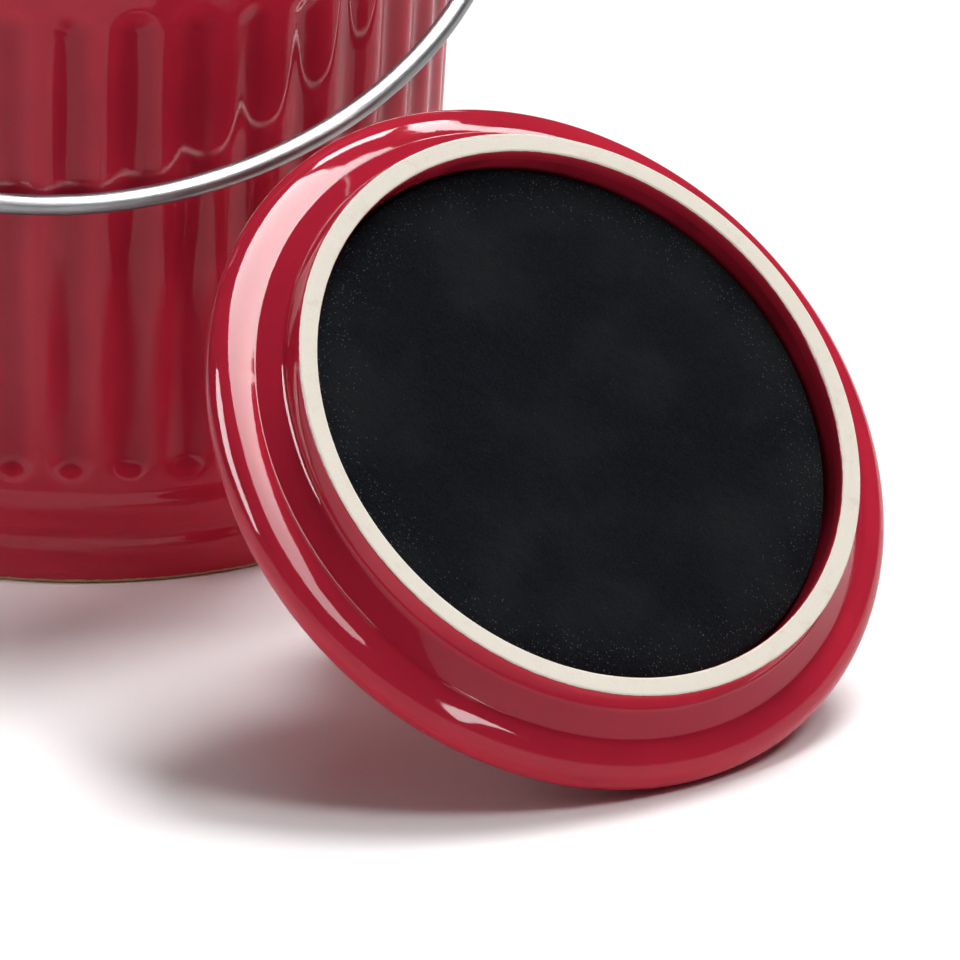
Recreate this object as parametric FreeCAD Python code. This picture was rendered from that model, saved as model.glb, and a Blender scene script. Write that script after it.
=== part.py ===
"""Fluted ceramic compost crock with a wire bail, a flanged lid and a charcoal filter pad.

The crock stands on the ground with its foot at z = 0 and its axis on Z. The bail swings on
an axis parallel to X. The lid is off the crock: it rests on the edge of its lip and on the
end of its handle, to the front right, with its open side facing outward and up.
"""
import FreeCAD, Part
import os
from math import asin, cos, degrees, pi, radians, sin, sqrt, tan

V = FreeCAD.Vector

# Crock, mm
FOOT_ROUNDING = 1.5
WALL_RADIUS_AT_FLOOR = 88.4
WALL_TAPER = 0.038              # growth of the outer radius per mm of height
CROCK_HEIGHT = 178.0
WALL_THICKNESS = 8.0
FLOOR_THICKNESS = 8.0
FOOT_RING_INNER_RADIUS = 74.0
FOOT_RECESS = 1.8
FOOT_RECESS_SLOPE = 1.5         # radial width of the slope from the foot ring up to the recess
INNER_CORNER = 9.0              # rounding between the floor and the inner wall
INNER_SHOULDER = 8.0            # height of the slope from the inner wall in to the mouth
BASE_BAND_TOP = 26.5
FOOT_BEADS = ((2.5, 13.0), (14.5, 25.0))  # lowest and highest point of each round moulding
BEAD_HEIGHT = 0.8
TOP_BAND_BOTTOM = 154.0
FLUTES = 38
FLUTE_DEPTH = 1.7
FLUTE_WIDTH = 12.4
MOUTH_RADIUS = 78.4
MOUTH_DEPTH = 14.0
RIM_OUTER_ROUNDING = 5.5
RIM_INNER_ROUNDING = 6.0

# Ears and bail, mm
PIVOT_HEIGHT = 160.0
EAR_RADIUS = 10.5
EAR_ROUNDING = 2.4
EAR_ROOT = 90.0                 # buried in the wall
EAR_FACE = 103.0                # distance of each ear's end face from the crock's axis
EAR_HOLE_RADIUS = 3.1
EAR_HOLE_END = 94.8
WIRE_RADIUS = 2.6
BAIL_ARC_RADIUS = 106.8
BAIL_LEG = 4.3                  # from the pivot axis to the centre of the arc
BAIL_BEND_RADIUS = 4.0
BAIL_PIN_END = 95.8
REST_GAP = 0.3                  # between parts that lie against each other
CUT_MARGIN = 1.0                # how far a cutting shape reaches past what it cuts

# Lid, mm: radii from its axis, depths measured from its open rim towards the handle
RIM_OUTER_RADIUS = 75.6
RIM_INNER_RADIUS = 70.4
RIM_EDGE = 0.8                  # rounding of the rim's two edges
FLANGE_ROOT_RADIUS = 76.2
LIP_CENTRE_RADIUS = 84.0
LIP_CENTRE_DEPTH = 18.7
LIP_ROUND = 7.0
SHOULDER_RADIUS = 81.8          # where the flange's flaring foot meets the lip's crest
FLARE_ROUND = 3.0               # hollow between the flange's wall and its flaring foot
SHOULDER_ROUND = 0.6            # hollow between the foot and the lip
DOME_EDGE_RADIUS = 76.0
DOME_EDGE_DEPTH = 26.4
DOME_TOP_DEPTH = 46.0
DOME_THICKNESS = 7.0
CREASE_RADIUS = 79.0            # shallow hollow between the lip and the dome
CREASE_DEPTH = 24.8
LEDGE_RADIUS = 64.0             # the filter lies on the ledge outside this radius
LEDGE_SLOPE = 4.0
LEDGE_DRAFT = 0.4               # the flange's bore narrows by this much on its way in
VENT_COUNT = 12
VENT_CIRCLE_RADIUS = 54.0
VENT_RADIUS = 2.6
HANDLE_HALF_LENGTH = 44.0
HANDLE_CORNER = 9.0
HANDLE_THICKNESS = 9.0
HANDLE_WIDTH = 21.0
HANDLE_EDGE = 3.6
HANDLE_GAP_CORNER = 5.0

# Where the lid rests
LID_AZIMUTH = radians(45.5)     # from the crock's front (-Y) towards +X
LID_TILT = radians(44.7)        # of the lid's open side above the horizontal
LID_REST_DISTANCE = 211.2       # of the lid's rim centre from the crock's axis

# Filter pad, mm
FILTER_RADIUS = 69.4
FILTER_THICKNESS = 10.0
FILTER_FACE_DEPTH = 6.0
FILTER_EDGE = 2.6


def wall_radius(height):
    """Outer radius of the crock on the crests of its flutes."""
    return WALL_RADIUS_AT_FLOOR + WALL_TAPER * height


def lid_rest_height():
    """Height of the rim's centre when the lip's edge touches the ground."""
    lip_reach = LIP_CENTRE_RADIUS * cos(LID_TILT) + LIP_CENTRE_DEPTH * sin(LID_TILT)
    return lip_reach + LIP_ROUND


def handle_top_depth():
    """Depth of the handle's top when its end touches the ground together with the lip."""
    corner_radius = HANDLE_HALF_LENGTH - HANDLE_CORNER
    reach = lid_rest_height() - HANDLE_CORNER - corner_radius * cos(LID_TILT)
    return reach / sin(LID_TILT) + HANDLE_CORNER


def bail_rest_angle():
    """Angle of the hanging bail from straight down, where its wire meets the front wall."""
    reach = BAIL_ARC_RADIUS + BAIL_LEG
    angle = radians(60.0)
    for _ in range(40):
        height = PIVOT_HEIGHT - reach * cos(angle)
        angle = asin((wall_radius(height) + WIRE_RADIUS + REST_GAP) / reach)
    return angle


def point(radius, height):
    return V(radius, 0.0, height)


def line(start, end):
    return Part.makeLine(start, end)


def arc(start, middle, end):
    return Part.Arc(start, middle, end).toShape()


def on_arc(centre, radius, angle_degrees):
    angle = radians(angle_degrees)
    return point(centre[0] + radius * cos(angle), centre[1] + radius * sin(angle))


def round_arc(centre, radius, start_degrees, end_degrees):
    """Arc in the XZ plane about a centre, from one angle to another."""
    middle_degrees = (start_degrees + end_degrees) / 2.0
    places = [on_arc(centre, radius, angle) for angle in (start_degrees, middle_degrees, end_degrees)]
    return arc(*places)


def revolve(edges):
    face = Part.Face(Part.Wire(edges))
    return face.revolve(V(0, 0, 0), V(0, 0, 1), 360.0)


def crock_shell():
    """Outer and inner wall of the crock, without flutes or ears."""
    outer_foot = wall_radius(FOOT_ROUNDING)
    foot_flat = outer_foot - FOOT_ROUNDING
    rim_outer = wall_radius(CROCK_HEIGHT)
    rim_flat_outer = rim_outer - RIM_OUTER_ROUNDING
    rim_flat_inner = MOUTH_RADIUS + RIM_INNER_ROUNDING
    inner_top = CROCK_HEIGHT - MOUTH_DEPTH
    inner_high = wall_radius(inner_top - INNER_SHOULDER) - WALL_THICKNESS
    corner = INNER_CORNER
    inner_low = wall_radius(FLOOR_THICKNESS + corner) - WALL_THICKNESS
    slant = cos(radians(45.0))
    points = [
        point(0.0, FOOT_RECESS),
        point(FOOT_RING_INNER_RADIUS - FOOT_RECESS_SLOPE, FOOT_RECESS),
        point(FOOT_RING_INNER_RADIUS, 0.0),
        point(foot_flat, 0.0),
        point(outer_foot, FOOT_ROUNDING),
        *[point(wall_radius(height), height) for bead in FOOT_BEADS for height in bead],
        point(rim_outer, CROCK_HEIGHT - RIM_OUTER_ROUNDING),
        point(rim_flat_outer, CROCK_HEIGHT),
        point(rim_flat_inner, CROCK_HEIGHT),
        point(MOUTH_RADIUS, CROCK_HEIGHT - RIM_INNER_ROUNDING),
        point(MOUTH_RADIUS, inner_top),
        point(inner_high, inner_top - INNER_SHOULDER),
        point(inner_low, FLOOR_THICKNESS + corner),
        point(inner_low - corner, FLOOR_THICKNESS),
        point(0.0, FLOOR_THICKNESS),
    ]
    foot_middle = point(foot_flat + FOOT_ROUNDING * slant, FOOT_ROUNDING * (1.0 - slant))
    rim_outer_middle = point(
        rim_flat_outer + RIM_OUTER_ROUNDING * slant,
        CROCK_HEIGHT - RIM_OUTER_ROUNDING * (1.0 - slant),
    )
    rim_inner_middle = point(
        rim_flat_inner - RIM_INNER_ROUNDING * slant,
        CROCK_HEIGHT - RIM_INNER_ROUNDING * (1.0 - slant),
    )
    corner_middle = point(
        inner_low - corner * (1.0 - slant),
        FLOOR_THICKNESS + corner * (1.0 - slant),
    )
    bead_middles = []
    for low, high in FOOT_BEADS:
        height = (low + high) / 2.0
        bead_middles.append(point(wall_radius(height) + BEAD_HEIGHT, height))
    middles = {
        3: foot_middle,
        5: bead_middles[0],
        7: bead_middles[1],
        9: rim_outer_middle,
        11: rim_inner_middle,
        15: corner_middle,
    }
    edges = []
    for index, start in enumerate(points):
        end = points[(index + 1) % len(points)]
        if index in middles:
            edges.append(arc(start, middles[index], end))
        else:
            edges.append(line(start, end))
    return revolve(edges)


def flute_tool():
    """One round-ended groove of the outer wall, cut off just outside the wall."""
    half = FLUTE_WIDTH / 2.0
    groove_radius = (half * half + FLUTE_DEPTH * FLUTE_DEPTH) / (2.0 * FLUTE_DEPTH)
    overlap = groove_radius - FLUTE_DEPTH
    low = V(wall_radius(BASE_BAND_TOP + half) + overlap, 0.0, BASE_BAND_TOP + half)
    high = V(wall_radius(TOP_BAND_BOTTOM - half) + overlap, 0.0, TOP_BAND_BOTTOM - half)
    axis = high.sub(low)
    tool = Part.makeCylinder(groove_radius, axis.Length, low, axis)
    for end in (low, high):
        tool = tool.fuse(Part.makeSphere(groove_radius, end))
    outside = wall_radius(TOP_BAND_BOTTOM) + CUT_MARGIN
    inside = WALL_RADIUS_AT_FLOOR - WALL_THICKNESS
    corner = V(inside, -half - CUT_MARGIN, 0.0)
    keep = Part.makeBox(outside - inside, 2.0 * (half + CUT_MARGIN), TOP_BAND_BOTTOM, corner)
    return tool.common(keep)


def ear(side):
    """Round boss on the wall, for one end of the bail."""
    start = V(side * EAR_ROOT, 0, PIVOT_HEIGHT)
    boss = Part.makeCylinder(EAR_RADIUS, EAR_FACE - EAR_ROOT, start, V(side, 0, 0))
    face_edges = []
    for edge in boss.Edges:
        box = edge.BoundBox
        if box.XLength < 0.01 and abs(abs(box.Center.x) - EAR_FACE) < 0.1:
            face_edges.append(edge)
    return boss.makeFillet(EAR_ROUNDING, face_edges)


def ear_hole(side):
    depth = EAR_FACE - EAR_HOLE_END + CUT_MARGIN
    start = V(side * EAR_HOLE_END, 0, PIVOT_HEIGHT)
    return Part.makeCylinder(EAR_HOLE_RADIUS, depth, start, V(side, 0, 0))


def make_crock():
    body = crock_shell()
    tool = flute_tool()
    tools = []
    for index in range(FLUTES):
        groove = tool.copy()
        groove.rotate(V(0, 0, 0), V(0, 0, 1), (index + 0.5) * 360.0 / FLUTES)
        tools.append(groove)
    body = body.cut(tools)
    for side in (-1.0, 1.0):
        body = body.fuse(ear(side))
    for side in (-1.0, 1.0):
        body = body.cut(ear_hole(side))
    return body.Solids[0]


def make_bail():
    """Bent wire in its hanging place, resting on the crock's front wall."""
    bend = BAIL_BEND_RADIUS
    side = BAIL_ARC_RADIUS
    turn = bend * (1.0 - cos(radians(45.0)))

    def mirrored(x, z):
        return V(-x, 0.0, z)

    right_pin = line(V(BAIL_PIN_END, 0, 0), V(side - bend, 0, 0))
    right_bend = arc(V(side - bend, 0, 0), V(side - turn, 0, -turn), V(side, 0, -bend))
    right_leg = line(V(side, 0, -bend), V(side, 0, -BAIL_LEG))
    bow = arc(V(side, 0, -BAIL_LEG), V(0, 0, -BAIL_LEG - side), mirrored(side, -BAIL_LEG))
    left_leg = line(mirrored(side, -BAIL_LEG), mirrored(side, -bend))
    left_bend = arc(mirrored(side, -bend), mirrored(side - turn, -turn), mirrored(side - bend, 0))
    left_pin = line(mirrored(side - bend, 0), mirrored(BAIL_PIN_END, 0))
    path = Part.Wire([right_pin, right_bend, right_leg, bow, left_leg, left_bend, left_pin])
    circle = Part.Wire(Part.makeCircle(WIRE_RADIUS, V(BAIL_PIN_END, 0, 0), V(1, 0, 0)))
    wire = path.makePipeShell([circle], True, False)
    wire.rotate(V(0, 0, 0), V(1, 0, 0), -degrees(bail_rest_angle()))
    wire.translate(V(0, 0, PIVOT_HEIGHT))
    return wire


def dome_height(radius, offset):
    """Depth of a domed surface at a radius, for the outer face or one set in by an offset."""
    sagitta = DOME_TOP_DEPTH - DOME_EDGE_DEPTH
    sphere = (DOME_EDGE_RADIUS ** 2 + sagitta ** 2) / (2.0 * sagitta)
    centre = DOME_TOP_DEPTH - sphere
    return centre + sqrt((sphere - offset) ** 2 - radius * radius)


def flange_hollows():
    """Centres of the two hollows of the flange's foot, which flares out at 45 degrees."""
    crest = LIP_CENTRE_DEPTH - LIP_ROUND
    reach = tan(radians(22.5))
    foot_width = SHOULDER_RADIUS - SHOULDER_ROUND * reach - FLANGE_ROOT_RADIUS
    bend = (FLANGE_ROOT_RADIUS + FLARE_ROUND, crest - foot_width - FLARE_ROUND * reach)
    shoulder = (SHOULDER_RADIUS, crest - SHOULDER_ROUND)
    return bend, shoulder


def lip_front():
    """Quarter ellipse from the lip's crest, where the flange's foot ends, to its outer edge."""
    outer = point(LIP_CENTRE_RADIUS + LIP_ROUND, LIP_CENTRE_DEPTH)
    crest = point(SHOULDER_RADIUS, LIP_CENTRE_DEPTH - LIP_ROUND)
    ellipse = Part.Ellipse(outer, crest, point(SHOULDER_RADIUS, LIP_CENTRE_DEPTH))
    return ellipse.toShape(0.0, pi / 2.0)


def lid_bowl():
    """Flange, lip and dome, turned about the lid's axis, with the open rim at z = 0."""
    edge = RIM_EDGE
    bend, shoulder = flange_hollows()
    lip = (LIP_CENTRE_RADIUS, LIP_CENTRE_DEPTH)
    lip_top = point(LIP_CENTRE_RADIUS, LIP_CENTRE_DEPTH + LIP_ROUND)
    crease = point(CREASE_RADIUS, CREASE_DEPTH)
    dome_edge = point(DOME_EDGE_RADIUS, DOME_EDGE_DEPTH)
    dome_middle = point(DOME_EDGE_RADIUS / 2.0, dome_height(DOME_EDGE_RADIUS / 2.0, 0.0))
    dome_top = point(0.0, DOME_TOP_DEPTH)
    under_top = point(0.0, DOME_TOP_DEPTH - DOME_THICKNESS)
    ledge = FILTER_FACE_DEPTH + FILTER_THICKNESS + REST_GAP
    under_edge_radius = LEDGE_RADIUS - LEDGE_SLOPE
    bore_end = RIM_INNER_RADIUS - LEDGE_DRAFT
    under_edge = point(under_edge_radius, dome_height(under_edge_radius, DOME_THICKNESS))
    under_middle = point(under_edge_radius / 2.0, dome_height(under_edge_radius / 2.0, DOME_THICKNESS))
    slant = edge * (1.0 - cos(radians(45.0)))
    edges = [
        line(point(RIM_INNER_RADIUS + edge, 0.0), point(RIM_OUTER_RADIUS - edge, 0.0)),
        arc(
            point(RIM_OUTER_RADIUS - edge, 0.0),
            point(RIM_OUTER_RADIUS - slant, slant),
            point(RIM_OUTER_RADIUS, edge),
        ),
        line(point(RIM_OUTER_RADIUS, edge), on_arc(bend, FLARE_ROUND, 180.0)),
        round_arc(bend, FLARE_ROUND, 180.0, 135.0),
        line(on_arc(bend, FLARE_ROUND, 135.0), on_arc(shoulder, SHOULDER_ROUND, 135.0)),
        round_arc(shoulder, SHOULDER_ROUND, 135.0, 90.0),
        lip_front(),
        round_arc(lip, LIP_ROUND, 0.0, 90.0),
        arc(lip_top, crease, dome_edge),
        arc(dome_edge, dome_middle, dome_top),
        line(dome_top, under_top),
        arc(under_top, under_middle, under_edge),
        line(under_edge, point(LEDGE_RADIUS, ledge)),
        line(point(LEDGE_RADIUS, ledge), point(bore_end, ledge)),
        line(point(bore_end, ledge), point(RIM_INNER_RADIUS, edge)),
        arc(
            point(RIM_INNER_RADIUS, edge),
            point(RIM_INNER_RADIUS + slant, slant),
            point(RIM_INNER_RADIUS + edge, 0.0),
        ),
    ]
    return revolve(edges)


def rounded_slab(half_length, low, high, corner, half_width):
    """Upright slab with two round upper corners, centred on the lid's axis."""
    slant = corner * (1.0 - cos(radians(45.0)))
    corners = [
        line(V(-half_length, -half_width, low), V(half_length, -half_width, low)),
        line(V(half_length, -half_width, low), V(half_length, -half_width, high - corner)),
        arc(
            V(half_length, -half_width, high - corner),
            V(half_length - slant, -half_width, high - slant),
            V(half_length - corner, -half_width, high),
        ),
        line(V(half_length - corner, -half_width, high), V(corner - half_length, -half_width, high)),
        arc(
            V(corner - half_length, -half_width, high),
            V(slant - half_length, -half_width, high - slant),
            V(-half_length, -half_width, high - corner),
        ),
        line(V(-half_length, -half_width, high - corner), V(-half_length, -half_width, low)),
    ]
    return Part.Face(Part.Wire(corners)).extrude(V(0, 2.0 * half_width, 0))


def lid_handle():
    """Strap handle across the top of the dome, with both feet buried in the dome."""
    top = handle_top_depth()
    low = DOME_TOP_DEPTH - DOME_THICKNESS + CUT_MARGIN
    half_width = HANDLE_WIDTH / 2.0
    strap = rounded_slab(HANDLE_HALF_LENGTH, low, top, HANDLE_CORNER, half_width)
    gap = rounded_slab(
        HANDLE_HALF_LENGTH - HANDLE_THICKNESS,
        low - CUT_MARGIN,
        top - HANDLE_THICKNESS,
        HANDLE_GAP_CORNER,
        half_width + CUT_MARGIN,
    )
    strap = strap.cut(gap)
    long_edges = []
    for edge in strap.Edges:
        box = edge.BoundBox
        on_side = box.YLength < 0.01 and abs(abs(box.Center.y) - half_width) < 0.01
        if on_side and box.ZMax > low + 0.01:
            long_edges.append(edge)
    return strap.makeFillet(HANDLE_EDGE, long_edges)


def vent(index):
    angle = 2.0 * pi * (index + 0.5) / VENT_COUNT
    place = V(VENT_CIRCLE_RADIUS * cos(angle), VENT_CIRCLE_RADIUS * sin(angle), FILTER_FACE_DEPTH)
    return Part.makeCylinder(VENT_RADIUS, DOME_TOP_DEPTH, place, V(0, 0, 1))


def place_lid(shape):
    """Turn a shape from the lid's own frame (rim at z = 0, handle up) to where the lid rests."""
    shape.rotate(V(0, 0, 0), V(0, 1, 0), -90.0 - degrees(LID_TILT))
    shape.translate(V(LID_REST_DISTANCE, 0, lid_rest_height()))
    shape.rotate(V(0, 0, 0), V(0, 0, 1), degrees(LID_AZIMUTH) - 90.0)
    return shape


def make_lid():
    lid = lid_bowl().fuse(lid_handle())
    lid = lid.cut([vent(index) for index in range(VENT_COUNT)])
    return place_lid(lid.Solids[0])


def make_filter():
    low = FILTER_FACE_DEPTH
    pad = Part.makeCylinder(FILTER_RADIUS, FILTER_THICKNESS, V(0, 0, low), V(0, 0, 1))
    face_edges = [edge for edge in pad.Edges if edge.BoundBox.ZMax < low + 0.01]
    return place_lid(pad.makeFillet(FILTER_EDGE, face_edges).Solids[0])


def main():
    os.makedirs("parts", exist_ok=True)
    nodes = {
        "crock_body": make_crock(),
        "bail_handle": make_bail(),
        "lid": make_lid(),
        "charcoal_filter": make_filter(),
    }
    for name, shape in nodes.items():
        shape.exportStep("parts/" + name + ".step")
        print(name, shape.ShapeType, shape.isValid(), round(shape.Volume / 1000.0, 2), "cm3")


main()
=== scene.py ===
"""A red ceramic compost crock with its lid off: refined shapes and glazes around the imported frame.

The crock, the bail, the lid and the filter pad are built again from their profiles, so that the
flutes, the moulded foot, the lip and the vents are smooth, and each stands for its CAD node.
"""
from math import cos, pi, radians, sin, sqrt, tan

import bmesh
import bpy
import numpy as np
from mathutils import Matrix, Vector


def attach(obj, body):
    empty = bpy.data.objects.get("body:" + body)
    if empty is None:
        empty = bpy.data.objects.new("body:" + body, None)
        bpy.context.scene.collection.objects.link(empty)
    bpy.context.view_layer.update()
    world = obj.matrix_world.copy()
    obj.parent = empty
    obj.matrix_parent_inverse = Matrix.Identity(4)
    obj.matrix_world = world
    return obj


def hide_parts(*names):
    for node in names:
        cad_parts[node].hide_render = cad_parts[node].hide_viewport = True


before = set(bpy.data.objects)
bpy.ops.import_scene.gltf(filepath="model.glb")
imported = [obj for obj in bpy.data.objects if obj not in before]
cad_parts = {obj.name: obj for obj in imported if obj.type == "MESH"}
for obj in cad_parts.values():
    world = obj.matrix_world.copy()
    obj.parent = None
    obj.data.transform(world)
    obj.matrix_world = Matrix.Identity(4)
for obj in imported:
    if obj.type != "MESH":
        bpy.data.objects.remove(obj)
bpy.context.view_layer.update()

MM = 0.001
MERGE_DISTANCE = 0.000004       # m

# Crock, mm
WALL_RADIUS_AT_FLOOR = 88.38
WALL_TAPER = 0.038
CROCK_HEIGHT = 178.0
WALL_THICKNESS = 8.0
FLOOR_THICKNESS = 8.0
FOOT_ROUNDING = 1.5
FOOT_RING_INNER_RADIUS = 74.0
FOOT_RECESS = 1.8
FOOT_RECESS_RADIUS = 72.0       # where the recess starts to slope down to the foot ring
FOOT_BARE = 1.1                 # height to which the foot is unglazed
FOOT_BEADS = ((2.5, 13.0), (14.5, 25.0))     # where each moulding starts and ends
BEAD_HEIGHT = 0.8
BASE_BAND_TOP = 26.5
TOP_BAND_BOTTOM = 154.0
FLUTES = 38
FLUTE_DEPTH = 1.6
COLUMNS_PER_FLUTE = 16
WALL_ROW_HEIGHTS = (40.0, 140.0, 156.0)      # where the spacing of the mesh's rows changes
CENTRE_DISC = 30.0              # radius of the flat faces that close the crock's mesh in the middle
MOUTH_RADIUS = 78.4
MOUTH_DEPTH = 14.0
INNER_SHOULDER = 8.0
INNER_CORNER = 9.0
RIM_OUTER_ROUNDING = 5.5
RIM_INNER_ROUNDING = 6.0

# Ears and bail, mm
PIVOT_HEIGHT = 160.0
EAR_RADIUS = 10.5
EAR_ROUNDING = 2.4
EAR_FLARE = 2.2
EAR_FACE = 103.0
EAR_DEPTH_IN_WALL = 3.5
EAR_FLARE_DEPTH_IN_WALL = 0.15
EAR_COLUMNS = 40
EAR_HOLE_RADIUS = 3.1
EAR_HOLE_END = 94.8
EAR_HOLE_LEAD = 0.5             # of the rounded edge of the hole
WIRE_RADIUS = 2.59
BAIL_ARC_RADIUS = 106.8
BAIL_LEG = 4.3
BAIL_BEND_RADIUS = 4.0
BAIL_PIN_END = 95.8
WIRE_COLUMNS = 28
REST_GAP = 0.3

# Lid, mm: radii from its axis, depths from its open rim towards the handle
RIM_OUTER_RADIUS = 75.6
RIM_INNER_RADIUS = 70.4
RIM_EDGE = 0.8
FLANGE_ROOT_RADIUS = 76.2
LIP_CENTRE_RADIUS = 84.0
LIP_CENTRE_DEPTH = 18.7
LIP_ROUND = 6.98
SHOULDER_RADIUS = 81.8
FLARE_ROUND = 3.0
SHOULDER_ROUND = 0.6
DOME_EDGE_RADIUS = 76.0
DOME_EDGE_DEPTH = 26.4
DOME_TOP_DEPTH = 46.0
DOME_THICKNESS = 7.0
CREASE_SAG = 0.9                # how far the lip's back is hollowed where it meets the dome
LEDGE_RADIUS = 64.0
LEDGE_DEPTH = 16.3
LEDGE_SLOPE = 4.0
BORE_END_RADIUS = 70.0
LID_COLUMNS = 288
VENT_COUNT = 12
VENT_CIRCLE_RADIUS = 54.0
VENT_RADIUS = 2.6
VENT_ROUNDING = 0.8
VENT_FIELD = (47.5, 59.5)       # the ring of the dome that the vents' patches fill
HANDLE_HALF_LENGTH = 44.0
HANDLE_TOP_DEPTH = 74.4
HANDLE_CORNER = 9.0
HANDLE_INNER_CORNER = 5.0
HANDLE_THICKNESS = 9.0
HANDLE_WIDTH = 21.0
HANDLE_EDGE = 3.6
HANDLE_FLARE = 4.0
HANDLE_DEPTH_IN_DOME = 2.0
HANDLE_SETTLE = 9.0             # height in which the strap's sections level out above the dome

# Filter pad, mm
FILTER_RADIUS = 69.4
FILTER_THICKNESS = 10.0
FILTER_FACE_DEPTH = 6.0
PAD_SHOULDER = 7.0              # width of the pad's worn, rounded edge
PAD_DROP = 2.2
PAD_CROWN = 0.35
PAD_COLUMNS = 240
PAD_CENTRE_DISC = 2.0
PAD_SWELL = 0.032               # of each of the waves that make its face uneven
PAD_WAVES = 26
GLINT_BAND_WIDTH = 16.0               # of the band at the pad's edge where the painted glints are denser

# Glaze, mm
BARE_HALF_WIDTH = 2.45          # of the unglazed clay on the lid's rim
BORE_SHADE_START = 4.0                # along the bore from the middle of the rim, where the painted shade of the bore begins, with the glaze pooled thicker there
BORE_SHADE_LENGTH = 2.0
ALL_GLAZED = -20.0              # stands for a place far from any bare clay

# Where the lid rests
LID_AZIMUTH = radians(45.5)
LID_TILT = radians(44.7)
LID_REST_DISTANCE = 211.2
LID_CLEARANCE = 0.05            # keeps the smooth lip off the ground, inside the box of the CAD mesh

# Camera, m and degrees, in the crock's frame
CAMERA_PLACE = (0.5141, -2.8149, 1.1229)
CAMERA_AZIMUTH = 8.28
CAMERA_PITCH = 21.52
CAMERA_ROLL = 1.23
CAMERA_LENS = 450.0

# Set, m: the place that the side panels stand round, and how far off the white wall stands
PANEL_AIM = (0.150, -0.148, 0.080)
PANEL_HEIGHT = 1.38             # of the panels overhead
PANEL_DISTANCE = 1.5            # of the panels at the sides, from that place
BACKDROP_RADIUS = 24.0
BACKDROP_HEIGHT = 8.0

# Colours, linear
# painted shade: dark red that stands for the shade inside the lid's bore, with glaze pooled thicker there
GLAZE_BORE_SHADE = (0.12, 0.006, 0.012)
GLAZE_DEEP = (0.36, 0.014, 0.033)
GLAZE_THIN = (0.50, 0.020, 0.044)
GLAZE_CLOUD = (0.42, 0.017, 0.038)
GLAZE_SPECK = (0.10, 0.003, 0.004)
GLAZE_EDGE = (0.34, 0.02, 0.008)
GLAZE_ROUGHNESS = 0.035
CLAY = (0.71, 0.65, 0.56)
CLAY_STAIN = (0.60, 0.50, 0.37)
CLAY_PALE = (0.78, 0.74, 0.66)
FOOT_CLAY = (0.44, 0.25, 0.11)
FOOT_STAIN = (0.20, 0.09, 0.035)
CLAY_FLECK = (0.45, 0.36, 0.24)
STEEL_DARK = (0.21, 0.21, 0.215)
STEEL_LIGHT = (0.27, 0.27, 0.275)
STEEL_LINE = (0.12, 0.115, 0.115)
FELT_DARK = (0.0020, 0.0022, 0.0034)
FELT_LIGHT = (0.0075, 0.0085, 0.0115)
FELT_DUSTY = (0.013, 0.015, 0.016)
# painted glint: light grey of the few carbon grains that are shown glinting
FELT_GRAIN_GLINT = (0.07, 0.076, 0.085)
FLOOR_DARK = (0.885, 0.88, 0.885)
FLOOR_LIGHT = (0.905, 0.9, 0.905)


# ---------------------------------------------------------------- profiles

def wall_radius(height):
    """Outer radius of the crock on the crests of its flutes."""
    return WALL_RADIUS_AT_FLOOR + WALL_TAPER * height


def lid_rest_height():
    """Height of the open rim's centre when the lip's edge touches the ground."""
    return LIP_CENTRE_RADIUS * cos(LID_TILT) + LIP_CENTRE_DEPTH * sin(LID_TILT) + LIP_ROUND


def line(start, end, steps):
    """Points along a straight line, without its end."""
    share = np.linspace(0.0, 1.0, steps, endpoint=False)[:, None]
    return np.array(start) * (1.0 - share) + np.array(end) * share


def arc(centre, radius, start, end, steps):
    """Points along an arc given by two angles in degrees, without its end."""
    angle = np.radians(np.linspace(start, end, steps, endpoint=False))
    return np.column_stack([centre[0] + radius * np.cos(angle), centre[1] + radius * np.sin(angle)])


def length_along(path):
    """Distance along a line of points, at each of them."""
    return np.concatenate([[0.0], np.cumsum(np.hypot(*np.diff(path, axis=0).T))])


def bead_offset(height):
    """How far the mouldings of the crock's foot stand out from the wall."""
    out = np.zeros_like(height)
    for low, high in FOOT_BEADS:
        share = np.clip((height - low) / (high - low), 0.0, 1.0)
        out += BEAD_HEIGHT * np.sin(pi * share) ** 1.4
    return out


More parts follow.
